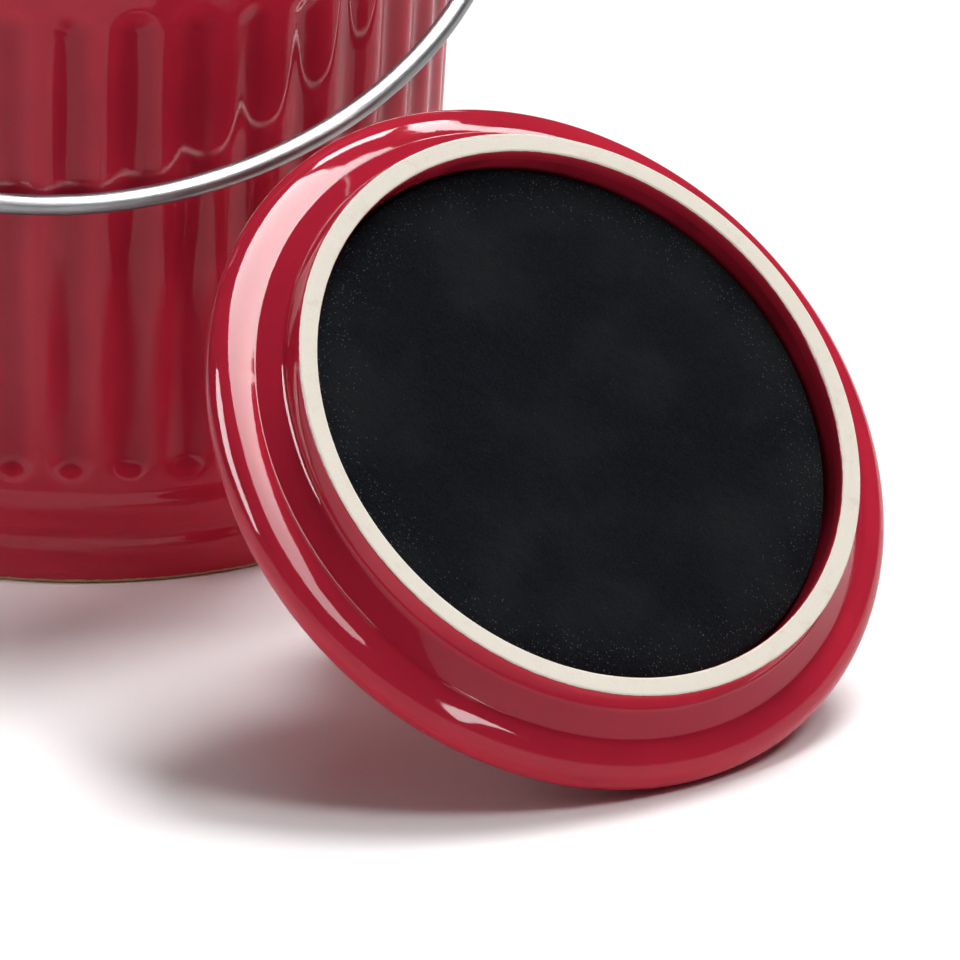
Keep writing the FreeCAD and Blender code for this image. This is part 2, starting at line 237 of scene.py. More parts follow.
def crock_profile():
    """Radius and height from the middle of the foot round to the middle of the inner floor."""
    foot_flat = wall_radius(FOOT_ROUNDING) - FOOT_ROUNDING
    rim_outer = wall_radius(CROCK_HEIGHT)
    rim_flat_outer = rim_outer - RIM_OUTER_ROUNDING
    rim_flat_inner = MOUTH_RADIUS + RIM_INNER_ROUNDING
    inner_top = CROCK_HEIGHT - MOUTH_DEPTH
    inner_high = wall_radius(inner_top - INNER_SHOULDER) - WALL_THICKNESS
    corner = INNER_CORNER
    inner_low = wall_radius(FLOOR_THICKNESS + corner) - WALL_THICKNESS
    rim_low = CROCK_HEIGHT - RIM_OUTER_ROUNDING
    band = np.linspace(FOOT_ROUNDING, BASE_BAND_TOP, 64, endpoint=False)
    band_radius = wall_radius(band) + bead_offset(band)
    steps = [(wall_radius(height), height) for height in (BASE_BAND_TOP, *WALL_ROW_HEIGHTS)]
    pieces = [
        line((CENTRE_DISC, FOOT_RECESS), (FOOT_RECESS_RADIUS, FOOT_RECESS), 4),
        line((FOOT_RECESS_RADIUS, FOOT_RECESS), (FOOT_RING_INNER_RADIUS, 0.0), 5),
        line((FOOT_RING_INNER_RADIUS, 0.0), (foot_flat, 0.0), 8),
        arc((foot_flat, FOOT_ROUNDING), FOOT_ROUNDING, -90.0, 0.0, 10),
        np.column_stack([band_radius, band]),
        line(steps[0], steps[1], 22),
        line(steps[1], steps[2], 40),
        line(steps[2], steps[3], 24),
        line(steps[3], (rim_outer, rim_low), 8),
        arc((rim_flat_outer, rim_low), RIM_OUTER_ROUNDING, 0.0, 90.0, 16),
        line((rim_flat_outer, CROCK_HEIGHT), (rim_flat_inner, CROCK_HEIGHT), 5),
        arc((rim_flat_inner, CROCK_HEIGHT - RIM_INNER_ROUNDING), RIM_INNER_ROUNDING, 90.0, 180.0, 10),
        line((MOUTH_RADIUS, CROCK_HEIGHT - RIM_INNER_ROUNDING), (MOUTH_RADIUS, inner_top), 5),
        line((MOUTH_RADIUS, inner_top), (inner_high, inner_top - INNER_SHOULDER), 8),
        line((inner_high, inner_top - INNER_SHOULDER), (inner_low, FLOOR_THICKNESS + corner), 24),
        arc((inner_low - corner, FLOOR_THICKNESS + corner), corner, 0.0, -90.0, 14),
        line((inner_low - corner, FLOOR_THICKNESS), (CENTRE_DISC, FLOOR_THICKNESS), 5),
        np.array([(CENTRE_DISC, FLOOR_THICKNESS)]),
    ]
    return np.vstack(pieces)


def flute_depth(angle, height):
    """Depth of the grooves at an angle round the crock and a height, both as arrays."""
    pitch = 2.0 * pi * wall_radius(height) / FLUTES
    across = (angle * FLUTES / (2.0 * pi)) % 1.0 - 0.5
    low = BASE_BAND_TOP + pitch / 2.0
    high = TOP_BAND_BOTTOM - pitch / 2.0
    beyond = np.maximum(0.0, np.maximum(low - height, height - high))
    share = np.sqrt((across * pitch) ** 2 + beyond ** 2) / (pitch / 2.0)
    return FLUTE_DEPTH * 0.5 * (1.0 + np.cos(pi * np.clip(share, 0.0, 1.0)))


def dome_depth(radius, offset=0.0):
    """Depth of the dome's outer face at a radius, or of a face set in by an offset."""
    sagitta = DOME_TOP_DEPTH - DOME_EDGE_DEPTH
    sphere = (DOME_EDGE_RADIUS ** 2 + sagitta ** 2) / (2.0 * sagitta)
    return DOME_TOP_DEPTH - sphere + np.sqrt((sphere - offset) ** 2 - radius * radius)


def flange_hollows():
    """Centres of the two hollows of the flange's foot, which flares out at 45 degrees."""
    crest = LIP_CENTRE_DEPTH - LIP_ROUND
    reach = tan(radians(22.5))
    foot_width = SHOULDER_RADIUS - SHOULDER_ROUND * reach - FLANGE_ROOT_RADIUS
    bend = (FLANGE_ROOT_RADIUS + FLARE_ROUND, crest - foot_width - FLARE_ROUND * reach)
    shoulder = (SHOULDER_RADIUS, crest - SHOULDER_ROUND)
    return bend, shoulder


def lip_front():
    """Quarter ellipse from the lip's crest, where the flange's foot ends, to its outer edge."""
    angle = np.radians(np.linspace(0.0, 90.0, 44, endpoint=False))
    width = LIP_CENTRE_RADIUS + LIP_ROUND - SHOULDER_RADIUS
    return np.column_stack([
        SHOULDER_RADIUS + width * np.sin(angle),
        LIP_CENTRE_DEPTH - LIP_ROUND * np.cos(angle),
    ])


def lid_outer_profile():
    """Radius and depth from the rim's middle over flange, flared foot and lip to the dome's edge."""
    bend, shoulder = flange_hollows()
    lip = (LIP_CENTRE_RADIUS, LIP_CENTRE_DEPTH)
    middle = (RIM_OUTER_RADIUS + RIM_INNER_RADIUS) / 2.0
    edge = RIM_EDGE
    corner = (RIM_OUTER_RADIUS - edge, edge)
    lip_back = (LIP_CENTRE_RADIUS, LIP_CENTRE_DEPTH + LIP_ROUND)
    share = np.linspace(0.0, 1.0, 14, endpoint=False)
    crease = np.column_stack([
        lip_back[0] + (DOME_EDGE_RADIUS - lip_back[0]) * share,
        lip_back[1] + (DOME_EDGE_DEPTH - lip_back[1]) * share - CREASE_SAG * np.sin(pi * share),
    ])
    pieces = [
        line((middle, 0.0), (RIM_OUTER_RADIUS - edge, 0.0), 8),
        arc(corner, edge, -90.0, 0.0, 10),
        line((RIM_OUTER_RADIUS, edge), (FLANGE_ROOT_RADIUS, bend[1]), 12),
        arc(bend, FLARE_ROUND, 180.0, 135.0, 14),
        arc(shoulder, SHOULDER_ROUND, 135.0, 90.0, 10),
        lip_front(),
        arc(lip, LIP_ROUND, 0.0, 90.0, 24),
        crease,
    ]
    return np.vstack(pieces)


def lid_inner_profile():
    """Radius and depth from the rim's middle down the bore to the dome's underside."""
    middle = (RIM_OUTER_RADIUS + RIM_INNER_RADIUS) / 2.0
    edge = RIM_EDGE
    under = LEDGE_RADIUS - LEDGE_SLOPE
    pieces = [
        line((middle, 0.0), (RIM_INNER_RADIUS + edge, 0.0), 8),
        arc((RIM_INNER_RADIUS + edge, edge), edge, 270.0, 180.0, 10),
        line((RIM_INNER_RADIUS, edge), (BORE_END_RADIUS, LEDGE_DEPTH), 10),
        line((BORE_END_RADIUS, LEDGE_DEPTH), (LEDGE_RADIUS, LEDGE_DEPTH), 4),
        line((LEDGE_RADIUS, LEDGE_DEPTH), (under, dome_depth(under, DOME_THICKNESS)), 5),
    ]
    return np.vstack(pieces)


# ---------------------------------------------------------------- mesh code

def ring_grid(profile, columns):
    """Points of a turned surface, one row for each profile point, in mm."""
    angle = np.arange(columns) * 2.0 * pi / columns
    radius = profile[:, 0][:, None]
    height = np.repeat(profile[:, 1][:, None], columns, axis=1)
    return np.stack([radius * np.cos(angle), radius * np.sin(angle), height], axis=-1)


def grid_faces(rows, columns):
    """Quads between the closed rows of a grid whose points are numbered row by row."""
    faces = []
    for row in range(rows - 1):
        for column in range(columns):
            a = row * columns + column
            b = row * columns + (column + 1) % columns
            faces.append((a, b, b + columns, a + columns))
    return faces


def end_faces(rows, columns):
    """The two flat faces that close a grid at its first and its last row."""
    last = (rows - 1) * columns
    return [tuple(range(columns - 1, -1, -1)), tuple(range(last, last + columns))]


class Shell:
    """Vertices and faces gathered for one mesh, in mm, with values kept at each vertex."""

    def __init__(self, names):
        self.points = []
        self.faces = []
        self.values = {name: [] for name in names}
        self.count = 0

    def add(self, points, faces, **values):
        points = np.asarray(points, float).reshape(-1, 3)
        self.points.append(points)
        self.faces.extend([tuple(index + self.count for index in face) for face in faces])
        for name, kept in self.values.items():
            value = np.broadcast_to(values.get(name, 0.0), (len(points),))
            kept.append(np.asarray(value, float))
        self.count += len(points)

    def build(self, name, body, nodes, turn=None):
        """The mesh as an object that rides on its CAD body and stands for its CAD nodes."""
        points = np.vstack(self.points)
        if turn is not None:
            points = points @ turn[0].T + turn[1]
        mesh = bpy.data.meshes.new(name)
        mesh.from_pydata((points * MM).tolist(), [], self.faces)
        for key, kept in self.values.items():
            attribute = mesh.attributes.new(key, "FLOAT", "POINT")
            attribute.data.foreach_set("value", np.concatenate(kept).astype(np.float32))
        work = bmesh.new()
        work.from_mesh(mesh)
        bmesh.ops.remove_doubles(work, verts=work.verts, dist=MERGE_DISTANCE)
        bmesh.ops.recalc_face_normals(work, faces=work.faces)
        work.to_mesh(mesh)
        work.free()
        mesh.polygons.foreach_set("use_smooth", [True] * len(mesh.polygons))
        mesh.update()
        piece = bpy.data.objects.new(name, mesh)
        bpy.context.scene.collection.objects.link(piece)
        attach(piece, body)
        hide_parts(*nodes)
        return piece


def lid_turn():
    """Rotation and shift from the lid's own frame (rim at z = 0, handle up) to where it rests."""
    lean = Matrix.Rotation(radians(-90.0) - LID_TILT, 3, "Y")
    aim = Matrix.Rotation(LID_AZIMUTH - pi / 2.0, 3, "Z")
    shift = aim @ Vector((LID_REST_DISTANCE, 0.0, lid_rest_height() + LID_CLEARANCE))
    return np.array(aim @ lean), np.array(shift)


# ---------------------------------------------------------------- crock

def crock_wall(shell):
    """Turned body of the crock, with the flutes pressed into its outer wall."""
    profile = crock_profile()
    columns = FLUTES * COLUMNS_PER_FLUTE
    grid = ring_grid(profile, columns)
    angle = np.arange(columns) * 2.0 * pi / columns
    height = profile[:, 1][:, None]
    top_of_wall = int(np.argmax(profile[:, 1]))
    outer = (np.arange(len(profile)) < top_of_wall)[:, None]
    depth = np.where(outer, flute_depth(angle[None, :], height), 0.0)
    radius = np.hypot(grid[..., 0], grid[..., 1])
    scale = (radius - depth) / radius
    grid[..., 0] *= scale
    grid[..., 1] *= scale
    bare = np.where(profile[:, 0] < FOOT_RING_INNER_RADIUS - 0.5, FOOT_BARE, FOOT_BARE - profile[:, 1])
    bare = np.where(np.arange(len(profile)) >= top_of_wall, ALL_GLAZED, bare)
    faces = grid_faces(len(profile), columns) + end_faces(len(profile), columns)
    thin = 1.0 - depth / FLUTE_DEPTH
    shell.add(grid, faces, bare=np.repeat(bare, columns), thin=thin.ravel())


def quarter(steps):
    """Sines and cosines of evenly spaced angles from 0 to 90 degrees."""
    angles = np.radians(np.linspace(0.0, 90.0, steps))
    return list(zip(np.sin(angles), np.cos(angles)))


def ear(shell, side):
    """Round boss for one end of the bail, flared where it leaves the wall, with its blind hole."""
    angle = np.arange(EAR_COLUMNS) * 2.0 * pi / EAR_COLUMNS
    shoulder = EAR_FACE - EAR_ROUNDING

    def ring(radius, along, off_wall=False):
        across = radius * np.cos(angle)
        height = PIVOT_HEIGHT + radius * np.sin(angle)
        x = np.full(EAR_COLUMNS, along)
        if off_wall:
            x = np.sqrt(wall_radius(height) ** 2 - across ** 2) + along - EAR_FLARE_DEPTH_IN_WALL
        return np.column_stack([side * x, across, height])

    rings = [ring(EAR_RADIUS + EAR_FLARE, wall_radius(PIVOT_HEIGHT) - EAR_DEPTH_IN_WALL)]
    for sine, cosine in quarter(7):
        rings.append(ring(EAR_RADIUS + EAR_FLARE * (1.0 - sine), EAR_FLARE * (1.0 - cosine), off_wall=True))
    for sine, cosine in quarter(8):
        rings.append(ring(EAR_RADIUS - EAR_ROUNDING * (1.0 - cosine), shoulder + EAR_ROUNDING * sine))
    for sine, cosine in quarter(5):
        radius = EAR_HOLE_RADIUS + EAR_HOLE_LEAD * (1.0 - sine)
        rings.append(ring(radius, EAR_FACE - EAR_HOLE_LEAD * (1.0 - cosine)))
    rings.append(ring(EAR_HOLE_RADIUS, EAR_HOLE_END))
    faces = grid_faces(len(rings), EAR_COLUMNS) + end_faces(len(rings), EAR_COLUMNS)
    shell.add(np.vstack(rings), faces, bare=ALL_GLAZED, thin=0.8)


def make_crock():
    shell = Shell(("bare", "thin"))
    crock_wall(shell)
    for side in (-1.0, 1.0):
        ear(shell, side)
    return shell.build("crock_ceramic", "crock", ["crock_body"])


# ---------------------------------------------------------------- bail

def bail_path():
    """Points along the wire's centre from the right pin to the left one, hanging straight down."""
    bend = BAIL_BEND_RADIUS
    side = BAIL_ARC_RADIUS
    half = [
        line((BAIL_PIN_END, 0.0), (side - bend, 0.0), 10),
        arc((side - bend, -bend), bend, 90.0, 0.0, 14),
        line((side, -bend), (side, -BAIL_LEG), 2),
        arc((0.0, -BAIL_LEG), side, 0.0, -90.0, 120),
    ]
    right = np.vstack(half + [np.array([(0.0, -BAIL_LEG - side)])])
    left = right[::-1][1:] * np.array([-1.0, 1.0])
    return np.vstack([right, left])


def bail_rest_angle():
    """Angle of the hanging bail from straight down, where its wire meets the front wall."""
    reach = BAIL_ARC_RADIUS + BAIL_LEG
    angle = radians(60.0)
    for _ in range(40):
        height = PIVOT_HEIGHT - reach * cos(angle)
        angle = np.arcsin((wall_radius(height) + WIRE_RADIUS + REST_GAP) / reach)
    return float(angle)


def make_bail():
    """Round wire swept along its path, hanging from its pins against the front of the crock."""
    path = bail_path()
    along = length_along(path)
    ahead = np.gradient(path, along, axis=0)
    ahead /= np.hypot(ahead[:, 0], ahead[:, 1])[:, None]
    around = np.arange(WIRE_COLUMNS) * 2.0 * pi / WIRE_COLUMNS
    across = WIRE_RADIUS * np.cos(around)
    through = WIRE_RADIUS * np.sin(around)
    x = path[:, 0][:, None] - across * ahead[:, 1][:, None]
    z = path[:, 1][:, None] + across * ahead[:, 0][:, None]
    y = np.broadcast_to(through, x.shape)
    turn = np.array(Matrix.Rotation(-bail_rest_angle(), 3, "X"))
    points = np.stack([x, y, z], axis=-1).reshape(-1, 3) @ turn.T + np.array([0.0, 0.0, PIVOT_HEIGHT])
    shell = Shell(("along", "across", "through"))
    shell.add(
        points,
        grid_faces(len(path), WIRE_COLUMNS) + end_faces(len(path), WIRE_COLUMNS),
        along=np.repeat(along, WIRE_COLUMNS),
        across=np.tile(across, len(path)),
        through=np.tile(through, len(path)),
    )
    return shell.build("bail_wire", "bail", ["bail_handle"])


# ---------------------------------------------------------------- lid

def convexity(profile):
    """From 0 in a hollow of the profile to 1 on a sharp edge, smoothed along its length."""
    length = length_along(profile)
    step = 0.1
    even = np.arange(0.0, length[-1], step)
    r = np.interp(even, length, profile[:, 0])
    z = np.interp(even, length, profile[:, 1])
    angle = np.unwrap(np.arctan2(np.gradient(z), np.gradient(r)))
    bend = np.gradient(angle) / step
    margin = 30
    weights = np.exp(-0.5 * (np.arange(-margin, margin + 1) / 9.0) ** 2)
    bend = np.convolve(np.pad(bend, margin, mode="edge"), weights / weights.sum(), mode="valid")
    return np.interp(length, even, np.clip(0.4 + 1.6 * bend, 0.0, 1.0)), length


def turned(shell, profile, sign):
    """Add a turned face whose first row is the middle of the bare rim: sign 1 outside, -1 inside."""
    thin, length = convexity(profile * np.array([sign, 1.0]))
    # Painted shade: down the bore the value is pushed below zero, so that the glaze is painted as the
    # bore's shade.
    if sign < 0.0:
        thin = thin - np.clip((length - BORE_SHADE_START) / BORE_SHADE_LENGTH, 0.0, 1.0)
    bare = BARE_HALF_WIDTH - length
    shell.add(
        ring_grid(profile, LID_COLUMNS),
        grid_faces(len(profile), LID_COLUMNS),
        bare=np.repeat(bare, LID_COLUMNS),
        thin=np.repeat(thin, LID_COLUMNS),
    )


def vent_patch(shell, sector, offset, inward):
    """One sector of the dome's ring of vents, as rings from its border in to the vent's edge.

    Gives back the last ring, so that the top and the underside can be joined by the vent's wall.
    """
    low, high = VENT_FIELD
    columns = LID_COLUMNS // VENT_COUNT
    rows = 8
    start = 2.0 * pi * sector / VENT_COUNT
    end = 2.0 * pi * (sector + 1) / VENT_COUNT
    border = [(low, start + (end - start) * i / columns) for i in range(columns)]
    border += [(low + (high - low) * i / rows, end) for i in range(rows)]
    border += [(high, end - (end - start) * i / columns) for i in range(columns)]
    border += [(high - (high - low) * i / rows, start) for i in range(rows)]
    border = np.array([(r * cos(a), r * sin(a)) for r, a in border])
    middle = (start + end) / 2.0
    centre = VENT_CIRCLE_RADIUS * np.array([cos(middle), sin(middle)])
    away = border - centre
    swing = np.arctan2(away[:, 1], away[:, 0])
    out = np.column_stack([np.cos(swing), np.sin(swing)])
    mouth = VENT_RADIUS + VENT_ROUNDING
    rings = []
    for share in (0.0, 0.3, 0.6, 0.82):
        flat = border * (1.0 - share) + (centre + out * mouth) * share
        rings.append((flat, 0.0))
    for sine, cosine in quarter(6):
        radius = VENT_RADIUS + VENT_ROUNDING * (1.0 - sine)
        rings.append((centre + out * radius, VENT_ROUNDING * (1.0 - cosine)))
    points = []
    for flat, sink in rings:
        depth = dome_depth(np.hypot(flat[:, 0], flat[:, 1]), offset) + inward * sink
        points.append(np.column_stack([flat, depth]))
    shell.add(np.vstack(points), grid_faces(len(rings), len(border)), bare=ALL_GLAZED, thin=0.45)
    return points[-1]


def dome_profile(start, end, rows, offset=0.0):
    """Radius and depth along the dome's outer face, or along a face set in by an offset."""
    radius = np.linspace(start, end, rows)
    return np.column_stack([radius, dome_depth(radius, offset)])


def lid_bowl(shell):
    """Rim, flange, lip and dome, with a ring of vents."""
    vents_inside, vents_outside = VENT_FIELD
    under_edge = LEDGE_RADIUS - LEDGE_SLOPE
    top = dome_profile(DOME_EDGE_RADIUS, vents_outside, 14)
    under = dome_profile(under_edge, vents_outside, 2, DOME_THICKNESS)
    turned(shell, np.vstack([lid_outer_profile(), top]), 1.0)
    turned(shell, np.vstack([lid_inner_profile(), under]), -1.0)
    for sector in range(VENT_COUNT):
        top = vent_patch(shell, sector, 0.0, -1.0)
        under = vent_patch(shell, sector, DOME_THICKNESS, 1.0)
        shell.add(np.vstack([top, under]), grid_faces(2, len(top)), bare=ALL_GLAZED, thin=0.3)
    for offset in (0.0, DOME_THICKNESS):
        middle = dome_profile(vents_inside, 3.0, 22, offset)
        faces = grid_faces(len(middle), LID_COLUMNS)
        faces.append(end_faces(len(middle), LID_COLUMNS)[1])
        shell.add(ring_grid(middle, LID_COLUMNS), faces, bare=ALL_GLAZED, thin=0.45)


def rounded_section(half_thickness, half_width, corner):
    """Points round a rounded rectangle, as (across its thickness, across its width)."""
    places = []
    for turn, (sign_t, sign_w) in enumerate(((1, 1), (-1, 1), (-1, -1), (1, -1))):
        middle = (sign_t * (half_thickness - corner), sign_w * (half_width - corner))
        end = radians(90.0 * (turn + 1))
        places.append(arc(middle, corner, 90.0 * turn, 90.0 * (turn + 1), 8))
        places.append(np.array([(middle[0] + corner * cos(end), middle[1] + corner * sin(end))]))
    return np.vstack(places)


def handle_outline():
    """Pairs of outer and inner points along half of the strap, from its foot to its middle."""
    top = HANDLE_TOP_DEPTH
    outer_x = HANDLE_HALF_LENGTH
    inner_x = outer_x - HANDLE_THICKNESS
    inner_top = top - HANDLE_THICKNESS
    inner_corner = HANDLE_INNER_CORNER
    foot = dome_depth(np.array((outer_x + inner_x) / 2.0)) + HANDLE_FLARE
    steps = 12
    outer = np.vstack([
        line((outer_x, foot), (outer_x, top - HANDLE_CORNER), steps),
        arc((outer_x - HANDLE_CORNER, top - HANDLE_CORNER), HANDLE_CORNER, 0.0, 90.0, steps),
        line((outer_x - HANDLE_CORNER, top), (0.0, top), steps),
        np.array([(0.0, top)]),
    ])
    inner = np.vstack([
        line((inner_x, foot), (inner_x, inner_top - inner_corner), steps),
        arc((inner_x - inner_corner, inner_top - inner_corner), inner_corner, 0.0, 90.0, steps),
        line((inner_x - inner_corner, inner_top), (0.0, inner_top), steps),
        np.array([(0.0, inner_top)]),
    ])
    return outer, inner


def handle_rings():
    """Sections along half of the strap: flared on the dome at the foot, plain above it."""
    outer, inner = handle_outline()
    half_width = HANDLE_WIDTH / 2.0
    section = rounded_section(HANDLE_THICKNESS / 2.0, half_width, HANDLE_EDGE)
    middle_x = HANDLE_HALF_LENGTH - HANDLE_THICKNESS / 2.0
    ahead = np.roll(section, -1, axis=0) - np.roll(section, 1, axis=0)
    ahead /= np.hypot(ahead[:, 0], ahead[:, 1])[:, None]
    out = np.column_stack([ahead[:, 1], -ahead[:, 0]])
    rings = []
    for height in [-HANDLE_DEPTH_IN_DOME] + list(np.linspace(0.0, HANDLE_FLARE, 8)):
        rise = HANDLE_FLARE - max(height, 0.0)
        flare = HANDLE_FLARE - sqrt(HANDLE_FLARE ** 2 - rise ** 2)
        x = middle_x + section[:, 0] + flare * out[:, 0]
        y = section[:, 1] + flare * out[:, 1]
        rings.append(np.column_stack([x, y, dome_depth(np.hypot(x, y)) + height]))
    foot = outer[0, 1]
    for (ox, oz), (ix, iz) in zip(outer[1:], inner[1:]):
        half = sqrt((ox - ix) ** 2 + (oz - iz) ** 2) / 2.0
        toward = np.array([(ox - ix), (oz - iz)]) / (2.0 * half)
        plain = rounded_section(half, half_width, HANDLE_EDGE)
        x = (ox + ix) / 2.0 + toward[0] * plain[:, 0]
        z = (oz + iz) / 2.0 + toward[1] * plain[:, 0]
        y = plain[:, 1]
        settle = min(1.0, (z.mean() - foot) / HANDLE_SETTLE)
        if toward[0] > 0.99 and settle < 1.0:
            slope = dome_depth(np.hypot(x, y)) - dome_depth(np.array(middle_x))
            z = z + slope * (1.0 - settle)
        rings.append(np.column_stack([x, y, z]))
    return rings


def lid_handle(shell):
    """Strap handle over the dome: one half and its mirror image, joined at the middle."""
    half = handle_rings()
    count = len(half[0])
    rings = half + [ring * np.array([-1.0, 1.0, 1.0]) for ring in half[::-1][1:]]
    faces = grid_faces(len(rings), count) + end_faces(len(rings), count)
    shell.add(np.vstack(rings), faces, bare=ALL_GLAZED, thin=0.75)


def make_lid():
    shell = Shell(("bare", "thin"))
    lid_bowl(shell)
    lid_handle(shell)
    return shell.build("lid_ceramic", "lid", ["lid"], turn=lid_turn())


# ---------------------------------------------------------------- filter pad

def pad_profile():
    """Radius and depth from the middle of the pad's face round to the middle of its back."""
    flat = FILTER_RADIUS - PAD_SHOULDER
    low = FILTER_FACE_DEPTH
    high = FILTER_FACE_DEPTH + FILTER_THICKNESS
    turn = np.linspace(0.0, 1.0, 26, endpoint=False) * pi / 2
    shoulder = [flat + PAD_SHOULDER * np.sin(turn), low + PAD_DROP * (1.0 - np.cos(turn))]
    return np.vstack([
        line((PAD_CENTRE_DISC, low), (flat, low), 44),
        np.column_stack(shoulder),
        line((FILTER_RADIUS, low + PAD_DROP), (FILTER_RADIUS, high), 8),
        line((FILTER_RADIUS, high), (PAD_CENTRE_DISC, high), 8),
        np.array([(PAD_CENTRE_DISC, high)]),
    ])


def pad_swell(radius, angle):
    """Uneven height of the pad's face, level at its middle and its edge."""
    rng = np.random.default_rng(4)
    swell = np.zeros((len(radius), len(angle)))
    for _ in range(PAD_WAVES):
        turns = rng.integers(1, 9)
        waves = rng.uniform(0.02, 0.12)
        phase = rng.uniform(0.0, 2.0 * pi, 2)
        swell += np.cos(turns * angle[None, :] + phase[0]) * np.cos(radius * waves * 2.0 + phase[1])
    middle = np.clip(radius / 14.0, 0.0, 1.0)
    edge = np.clip((FILTER_RADIUS - radius) / 3.0, 0.0, 1.0)
    return PAD_SWELL * swell * middle * edge


def make_pad():
    """Round felt pad, a little crowned and uneven, with a soft rounded edge and a band along it where
    painted glints are denser.
    """
    profile = pad_profile()
    grid = ring_grid(profile, PAD_COLUMNS)
    angle = np.arange(PAD_COLUMNS) * 2.0 * pi / PAD_COLUMNS
    radius = profile[:, 0][:, None]
    crown = PAD_CROWN * (1.0 - (radius / FILTER_RADIUS) ** 2)
    face = profile[:, 1][:, None] < FILTER_FACE_DEPTH + PAD_DROP + 0.1
    grid[..., 2] += np.where(face, pad_swell(radius, angle) - crown, 0.0)
    faces = grid_faces(len(profile), PAD_COLUMNS) + end_faces(len(profile), PAD_COLUMNS)
    # Painted glint: the band at the pad's edge where more grains are painted glinting.
    worn = np.clip((profile[:, 0] - FILTER_RADIUS + GLINT_BAND_WIDTH) / GLINT_BAND_WIDTH, 0.0, 1.0)
    shell = Shell(("worn",))
    shell.add(grid, faces, worn=np.repeat(worn, PAD_COLUMNS))
    pad = shell.build("filter_pad", "filter", ["charcoal_filter"], turn=lid_turn())
    return pad


# ---------------------------------------------------------------- materials

class Paint:
    """A node material being built: each call adds a node and gives back its output."""

    def __init__(self, name):
        self.material = bpy.data.materials.new(name)
        self.material.use_nodes = True
        self.tree = self.material.node_tree
        self.tree.nodes.clear()
        self.place = self.add("ShaderNodeTexCoord").outputs["Object"]

    def add(self, kind, **settings):
        node = self.tree.nodes.new(kind)
        for key, value in settings.items():
            setattr(node, key, value)
        return node

    def feed(self, socket, value):
        if isinstance(value, bpy.types.NodeSocket):
            self.tree.links.new(value, socket)
        elif isinstance(value, tuple) and len(value) == 3 and socket.type == "RGBA":
            socket.default_value = (*value, 1.0)
        else:
            socket.default_value = value

    def attribute(self, name):
        """A value kept at the mesh's vertices."""
        return self.add("ShaderNodeAttribute", attribute_name=name).outputs["Fac"]

    def noise(self, scale, detail=3.0, roughness=0.5, place=None):
        """Noise from 0 to 1; the scale is in features per metre."""
        node = self.add("ShaderNodeTexNoise")
        self.feed(node.inputs["Vector"], place or self.place)
        node.inputs["Scale"].default_value = scale
        node.inputs["Detail"].default_value = detail
        node.inputs["Roughness"].default_value = roughness
        return node.outputs["Fac"]

    def cells(self, scale, output="Distance"):
        """Distance from the middle of a cell, or a random colour for each cell."""
        node = self.add("ShaderNodeTexVoronoi")
        self.feed(node.inputs["Vector"], self.place)
        node.inputs["Scale"].default_value = scale
        return node.outputs[output]

    def span(self, value, low, high, to_low=0.0, to_high=1.0):
        """A value's range mapped to another range and held there."""
        node = self.add("ShaderNodeMapRange", interpolation_type="SMOOTHSTEP")
        self.feed(node.inputs["Value"], value)
        node.inputs["From Min"].default_value = low
        node.inputs["From Max"].default_value = high
        node.inputs["To Min"].default_value = to_low
        node.inputs["To Max"].default_value = to_high
        return node.outputs["Result"]

    def math(self, operation, first, second):
        node = self.add("ShaderNodeMath", operation=operation)
        self.feed(node.inputs[0], first)
        self.feed(node.inputs[1], second)
        return node.outputs[0]

    def mix(self, share, first, second):
        """A colour between two colours."""
        node = self.add("ShaderNodeMix", data_type="RGBA")
        self.feed(node.inputs["Factor"], share)
        self.feed(node.inputs["A"], first)
        self.feed(node.inputs["B"], second)
        return node.outputs["Result"]

    def blend(self, share, first, second):
        """A number between two numbers."""
        node = self.add("ShaderNodeMix", data_type="FLOAT")
        self.feed(node.inputs["Factor"], share)
        self.feed(node.inputs["A"], first)
        self.feed(node.inputs["B"], second)
        return node.outputs["Result"]

    def bump(self, height, distance):
        """A surface normal from a height; the distance, in metres, is what a height of 1 stands for."""
        node = self.add("ShaderNodeBump")
        node.inputs["Strength"].default_value = 1.0
        node.inputs["Distance"].default_value = distance
        self.feed(node.inputs["Height"], height)
        return node.outputs["Normal"]

    def finish(self, **inputs):
        """The material, from the inputs of its surface shader."""
        shader = self.add("ShaderNodeBsdfPrincipled")
        for key, value in inputs.items():
            self.feed(shader.inputs[key.replace("_", " ")], value)
        output = self.add("ShaderNodeOutputMaterial")
        self.tree.links.new(shader.outputs["BSDF"], output.inputs["Surface"])
        return self.material


